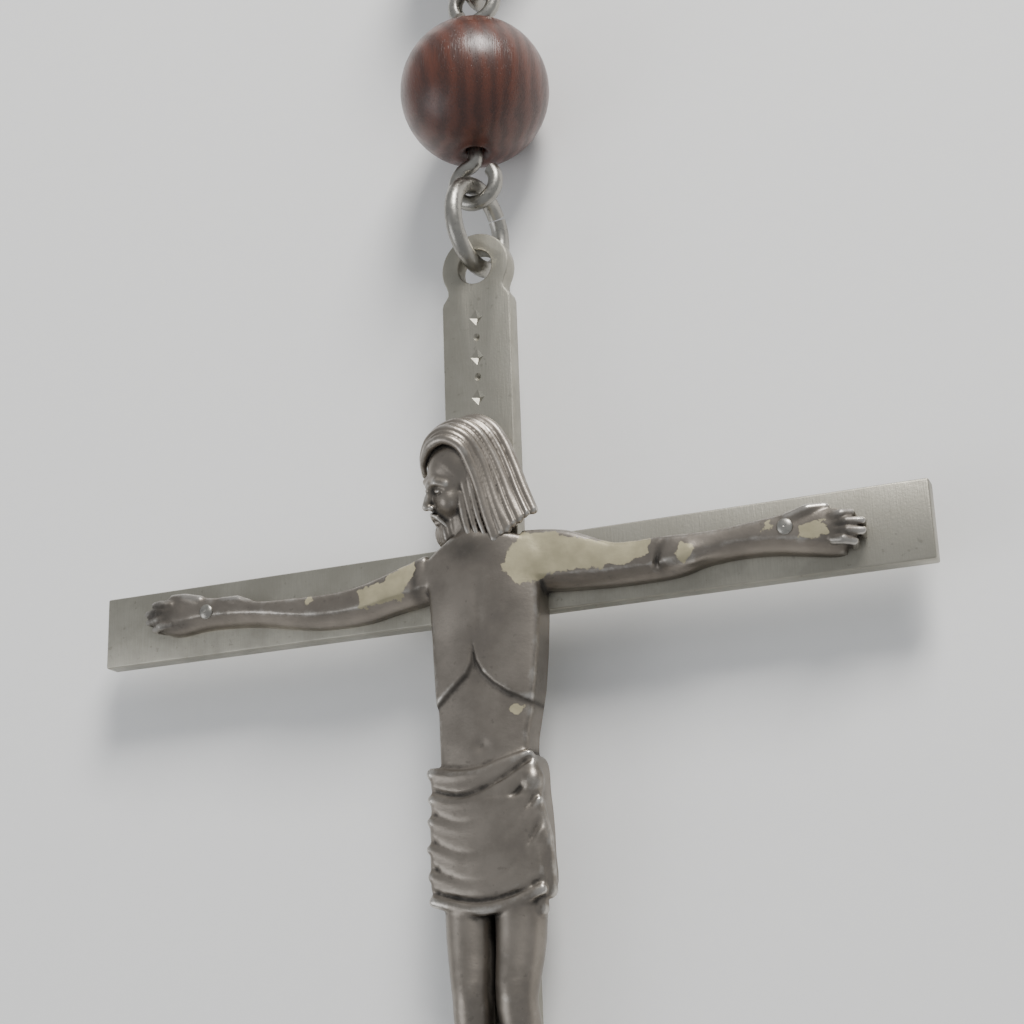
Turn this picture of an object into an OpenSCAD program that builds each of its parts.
// Rosary: five decades of round beads on wire pins, a centre medal, and a pendant that
// ends in a riveted metal crucifix. It lies flat, with the crucifix face up inside the loop.

/* [Beads and wire] */
// Diameter of a bead
bead_d = 7; // [6.6:0.1:7.4]
// Thickness of the wire in the pins and links
pin_wire = 0.7; // [0.66:0.01:0.72]
// Radius of a pin's eye, to the middle of the wire
eye_r = 1.0; // [1:0.01:1.05]
// Radius of a small link, to the middle of the wire
link_r = 1.25; // [1.25:0.01:1.3]

/* [Jump rings] */
// Radius of a jump ring, to the middle of the wire
ring_r = 2.0; // [2:0.01:2.05]
// Thickness of a jump ring's wire
ring_wire = 0.8; // [0.76:0.01:0.82]
// Lean of the crucifix's jump ring to one side, in degrees
ring_lean = 10; // [0:1:10]

/* [Crucifix] */
// Length of the crossbar
arm_span = 38; // [37:0.5:39]
// Width of the crossbar and of the upright
bar_w = 3.3; // [3.2:0.05:3.4]
// Thickness of the cross
bar_t = 0.9; // [0.8:0.05:0.95]
// Height of the hanging hole's centre above the crossbar's middle
hole_y = 14.7; // [14.5:0.1:15]
// Radius of the hanging hole
hole_r = 0.8; // [0.8:0.01:0.84]
// Radius of the round end that the hanging hole is in
end_r = 1.62; // [1.6:0.01:1.65]
// Distance from the crossbar's middle down to the foot of the cross
foot_y = 36; // [35:0.5:37]

/* [Medal] */
// Width of the centre medal
medal_w = 12; // [11.8:0.1:12.2]
// Height of the centre medal
medal_h = 16; // [15.8:0.1:16.2]
// Thickness of the centre medal without its relief
medal_t = 1.3; // [1.2:0.1:1.4]

/* [Hidden] */
$fn = 48;

bead_r = bead_d / 2;
wire_r = pin_wire / 2;
// The straight part of a pin is a little thinner than its eyes, and turns freely in its bead.
shaft_r = wire_r - 0.03;
bore_r = shaft_r + 0.05;
slack = 0.1;

// Distances along a chain, from centre to centre
bead_to_eye = bead_r + slack + wire_r + eye_r;
eye_to_link = eye_r + link_r - 2 * wire_r - slack;
link_to_link = 2 * link_r - 2 * wire_r - slack;
eye_to_ring = 1.8;
lug_r = 1.1;
lug_to_ring = lug_r + ring_r - ring_wire - slack;
eye_to_leaning_ring = 2.15;

// Heights above the table: the beads lie on it, and the medal hangs low in its three jump rings
bead_z = bead_r;
medal_z = bead_z - 0.8;
leaning_ring_z = bead_z - 0.2;

// Half of the angle from bead to bead, for a chain that spans `reach` between eye and gap middle
function half_step(r, reach) = asin(reach / sqrt(r * r + bead_to_eye * bead_to_eye)) + atan(bead_to_eye / r);
near_reach = eye_to_link;
far_reach = eye_to_link + link_to_link;

// Where the medal's upper lugs are, from its centre
lug_x = 4.9 * medal_w / 12;
lug_y = 6.2 * medal_h / 16;
lug_to_bead = lug_to_ring + eye_to_ring + bead_to_eye;
function first_angle(r) = asin(lug_x / sqrt(r * r + lug_to_bead * lug_to_bead)) + atan(lug_to_bead / r);

// The loop's radius is the one at which 54 beads and the medal close the circle
function turn(r) = 2 * first_angle(r) + 90 * half_step(r, near_reach) + 16 * half_step(r, far_reach);
function close_loop(lo, hi, n) = n == 0 ? (lo + hi) / 2
    : turn((lo + hi) / 2) > 360 ? close_loop((lo + hi) / 2, hi, n - 1)
    : close_loop(lo, (lo + hi) / 2, n - 1);
loop_r = close_loop(90, 150, 40);
near_half = half_step(loop_r, near_reach);
far_half = half_step(loop_r, far_reach);
start_angle = first_angle(loop_r);

// The loop is moved so that the middle of its outer box is on the origin
loop_y = loop_r * (cos(near_half) - cos(start_angle)) / 2;

// Beads are counted down each side from the medal; 11 and 22 are Our Father beads
function far_gaps(i) = (i > 10 ? 1 : 0) + (i > 11 ? 1 : 0) + (i > 21 ? 1 : 0) + (i > 22 ? 1 : 0);
function bead_angle(i) = start_angle + 2 * (i - 1) * near_half + 2 * far_gaps(i) * (far_half - near_half);
function is_far(i) = i == 10 || i == 11 || i == 21 || i == 22;

// Pendant, from the medal's lower lug down
medal_y = loop_y + loop_r * cos(start_angle) + lug_to_bead * sin(start_angle) - lug_y;
low_lug_y = medal_y - medal_h / 2 - 1.0;
first_ring_y = low_lug_y - lug_to_ring;
pendant_pitch = 2 * (bead_to_eye + eye_to_link);
function pendant_bead_y(i) = first_ring_y - eye_to_ring - bead_to_eye - (i - 1) * pendant_pitch;
function pendant_link_y(i) = pendant_bead_y(i) + bead_to_eye + eye_to_link;
last_ring_y = pendant_bead_y(5) - bead_to_eye - eye_to_leaning_ring;

// Crucifix: its own frame has the crossbar's middle at the origin and the back at z = 0.
// It leans on its foot and on the jump ring at its top.
rim_y = hole_y + (hole_r + end_r) / 2;
rim_to_ring = 0.96;
tilt = asin((leaning_ring_z - bar_t / 2) / (rim_y + foot_y));
cross_z = foot_y * sin(tilt);
cross_y = last_ring_y - rim_to_ring - rim_y * cos(tilt) + bar_t / 2 * sin(tilt);
rivet_r = 0.3;
left_rivet = [-13.1, 0.1];
right_rivet = [13.4, 0.15];
foot_rivet_at = [0.3, -25];

// Each run: side, first and last bead, whether it also holds the link after its last bead
RUNS = [
    ["decade_1_first", "left", 1, 3, false], ["decade_1_middle", "left", 4, 7, false],
    ["decade_1_last", "left", 8, 10, false], ["decade_2_first", "left", 12, 14, false],
    ["decade_2_middle", "left", 15, 18, false], ["decade_2_last", "left", 19, 21, false],
    ["decade_3_first", "left", 23, 25, false], ["decade_3_middle", "right", 26, 29, true],
    ["decade_3_last", "right", 23, 25, false], ["decade_4_first", "right", 19, 21, false],
    ["decade_4_middle", "right", 15, 18, false], ["decade_4_last", "right", 12, 14, false],
    ["decade_5_first", "right", 8, 10, false], ["decade_5_middle", "right", 4, 7, false],
    ["decade_5_last", "right", 1, 3, false],
];
SINGLES = [[1, "left", 11], [2, "left", 22], [3, "right", 22], [4, "right", 11]];

module wire_ring(r, wire) {
    rotate_extrude()
        translate([r, 0]) circle(r = wire, $fn = 32);
}

// A ring that stands upright, with the chain running through it along X
module upright_ring(r, wire) {
    rotate([90, 0, 0]) wire_ring(r, wire);
}

// A straight pin along X with an eye at each end
module eye_pin() {
    shaft = 2 * (bead_to_eye - eye_r);
    translate([-shaft / 2, 0, 0])
        rotate([0, 90, 0]) cylinder(r = shaft_r, h = shaft);
    for (s = [-1, 1])
        translate([s * bead_to_eye, 0, 0]) wire_ring(eye_r, wire_r);
}

module bead() {
    rotate([0, 90, 0])
        rotate_extrude($fn = 64)
            intersection() {
                circle(r = bead_r, $fn = 64);
                translate([bore_r, -bead_r]) square([bead_r, bead_d]);
            }
}

module side(name) {
    if (name == "left") mirror([1, 0, 0]) children();
    else children();
}

module at_bead(i) {
    translate([0, loop_y, bead_z])
        rotate([0, 0, -bead_angle(i)])
            translate([0, loop_r, 0]) children();
}

// The links between bead i and bead i + 1: one, or three beside an Our Father bead
module gap_links(i) {
    half = is_far(i) ? far_half : near_half;
    r = loop_r * cos(half) + bead_to_eye * sin(half);
    translate([0, loop_y, bead_z])
        rotate([0, 0, -bead_angle(i) - half])
            translate([0, r, 0])
                if (is_far(i)) {
                    wire_ring(link_r, wire_r);
                    for (s = [-1, 1])
                        translate([s * link_to_link, 0, 0]) upright_ring(link_r, wire_r);
                } else upright_ring(link_r, wire_r);
}

module loop_beads(name, from, to) {
    color("saddlebrown")
        side(name)
            for (i = [from:to]) at_bead(i) bead();
}

// The pins of one run of beads, with the links that lead to it and those inside it
module loop_wires(name, from, to, tail = false) {
    color("silver")
        side(name) {
            for (i = [from:to]) at_bead(i) eye_pin();
            if (from == 1)
                at_bead(1)
                    translate([-bead_to_eye - eye_to_ring, 0, medal_z - bead_z])
                        upright_ring(ring_r, ring_wire / 2);
            else gap_links(from - 1);
            for (i = [from:1:to - 1]) gap_links(i);
            if (tail) gap_links(to);
        }
}

module oval(w, h) {
    polygon([for (a = [0:5:355]) [w / 2 * cos(a), h / 2 * sin(a)]]);
}

// Oval medal with a raised rim, a plain raised cross and three lugs
module centre_medal() {
    relief = 0.25;
    rim = 0.8;
    color("silver")
        translate([0, medal_y, medal_z]) {
            translate([0, 0, -medal_t / 2])
                linear_extrude(medal_t) oval(medal_w, medal_h);
            translate([0, 0, medal_t / 2 - 0.05])
                difference() {
                    linear_extrude(relief + 0.05) oval(medal_w, medal_h);
                    translate([0, 0, -1])
                        linear_extrude(3) oval(medal_w - 2 * rim, medal_h - 2 * rim);
                }
            translate([-0.7, -medal_h / 2 + 2.6, medal_t / 2 - 0.05])
                cube([1.4, medal_h - 5.2, relief + 0.05]);
            translate([-3, 0.8, medal_t / 2 - 0.05])
                cube([6, 1.4, relief + 0.05]);
            translate([0, -medal_h / 2 - 1.0, 0]) wire_ring(lug_r, ring_wire / 2);
            for (s = [-1, 1])
                translate([s * lug_x, lug_y, 0]) wire_ring(lug_r, ring_wire / 2);
        }
}

module pendant_bead(i) {
    color("saddlebrown")
        translate([0, pendant_bead_y(i), bead_z]) rotate([0, 0, 90]) bead();
}

module pendant_pin(i) {
    color("silver")
        translate([0, pendant_bead_y(i), bead_z]) rotate([0, 0, 90]) eye_pin();
}

// The first link is a jump ring in the medal's lower lug
module pendant_link(i) {
    color("silver")
        if (i == 1)
            translate([0, first_ring_y, medal_z])
                rotate([0, 0, 90]) upright_ring(ring_r, ring_wire / 2);
        else
            translate([0, pendant_link_y(i), bead_z])
                rotate([0, 0, 90]) upright_ring(link_r, wire_r);
}

module crucifix_ring() {
    color("silver")
        translate([0, last_ring_y, leaning_ring_z])
            rotate([0, 90 - ring_lean, 0]) wire_ring(ring_r, ring_wire / 2);
}

// Lays a piece of the crucifix in its place on the table
module laid() {
    translate([0, cross_y, cross_z]) rotate([tilt, 0, 0]) children();
}

module rivet_hole(at) {
    translate([at[0], at[1], -1]) cylinder(r = rivet_r + 0.02, h = 6);
}

module cross_outline() {
    translate([-arm_span / 2, -bar_w / 2]) square([arm_span, bar_w]);
    translate([-bar_w / 2, -foot_y]) square([bar_w, foot_y + hole_y - 1.3]);
    translate([0, hole_y]) circle(r = end_r);
}

// A flat cross with a drilled round end, and a small engraved pattern on the upper arm
module cross_plate() {
    cut = 0.12;
    lozenge = 0.7;
    dot_r = 0.16;
    color("silver")
        laid()
            difference() {
                linear_extrude(bar_t) cross_outline();
                translate([0, hole_y, -1]) cylinder(r = hole_r, h = 3);
                for (at = [left_rivet, right_rivet, foot_rivet_at]) rivet_hole(at);
                for (y = [8.4, 10.3, 12.2])
                    translate([0, y, bar_t]) rotate([0, 0, 45])
                        cube([lozenge, lozenge, 2 * cut], center = true);
                for (y = [9.35, 11.25])
                    translate([0, y, bar_t - cut]) cylinder(r = dot_r, h = 1);
            }
}

// Half of the body's outline, from the shoulder down to the toes, about its own middle line
body_side = [
    [2.5, 1.2], [2.5, -2.5], [2.2, -5], [1.9, -7.4], [2.3, -10.5], [2.1, -13.5],
    [1.7, -17], [1.4, -21], [0.95, -24], [0.95, -26], [0.5, -27],
];
left_arm = [
    [-1.8, 1.2], [-3.4, 0.9], [-5.6, 0.35], [-9, 0.3], [-12, 0.7], [-15, 1.15], [-16.3, 0.6],
    [-16, -0.2], [-15, -0.6], [-12, -0.6], [-9, -1.1], [-7, -1.3], [-4, -1.1], [-1.8, -0.8],
];
right_arm = [
    [2, 1.6], [3.6, 1.5], [5.6, 0.8], [9, 0.75], [12, 0.9], [15, 0.9], [16.3, 0.3],
    [16.4, -0.9], [15, -1.1], [12, -0.7], [9, -1.0], [7, -1.1], [4, -1.0], [2, -0.9],
];

// The figure's plain solid: body, arms, head and hair, riveted to the cross at three places
module corpus() {
    middle = 0.3;
    color("gray")
        laid()
            translate([0, 0, bar_t])
                difference() {
                    union() {
                        translate([middle, 0, 0])
                            linear_extrude(1.5)
                                polygon([
                                    for (p = body_side) p,
                                    for (i = [len(body_side) - 1:-1:0]) [-body_side[i][0], body_side[i][1]],
                                ]);
                        linear_extrude(1.0) polygon(left_arm);
                        linear_extrude(1.1) polygon(right_arm);
                        linear_extrude(1.6)
                            polygon([[-2.4, 6], [-1, 7.2], [0.6, 6.9], [1.5, 5], [2.6, 2.1], [0.4, 0.9], [-1.6, 1]]);
                        translate([-0.7, 4.6, 0]) cylinder(r = 2.1, h = 2.1);
                    }
                    for (at = [left_rivet, right_rivet, foot_rivet_at])
                        translate([0, 0, -1]) rivet_hole(at);
                }
}

// A shank through the figure and the cross, with a small domed head
module rivet(at, seat) {
    color("silver")
        laid()
            translate([at[0], at[1], 0]) {
                cylinder(r = rivet_r, h = bar_t + seat + 0.2);
                translate([0, 0, bar_t + seat + 0.03])
                    intersection() {
                        translate([0, 0, -0.2]) sphere(r = 0.5);
                        cylinder(r = 0.5, h = 1);
                    }
            }
}

cross_plate();
corpus();
rivet(left_rivet, 1.0);  // left_hand_rivet
rivet(right_rivet, 1.1);  // right_hand_rivet
rivet(foot_rivet_at, 1.5);  // foot_rivet
crucifix_ring();
centre_medal();
for (i = [1:5]) {
    pendant_bead(i);
    pendant_pin(i);
    pendant_link(i);
}
for (r = RUNS) {
    loop_beads(r[1], r[2], r[3]);
    loop_wires(r[1], r[2], r[3], r[4]);
}
for (s = SINGLES) {
    loop_beads(s[1], s[2], s[2]);
    loop_wires(s[1], s[2], s[2]);
}
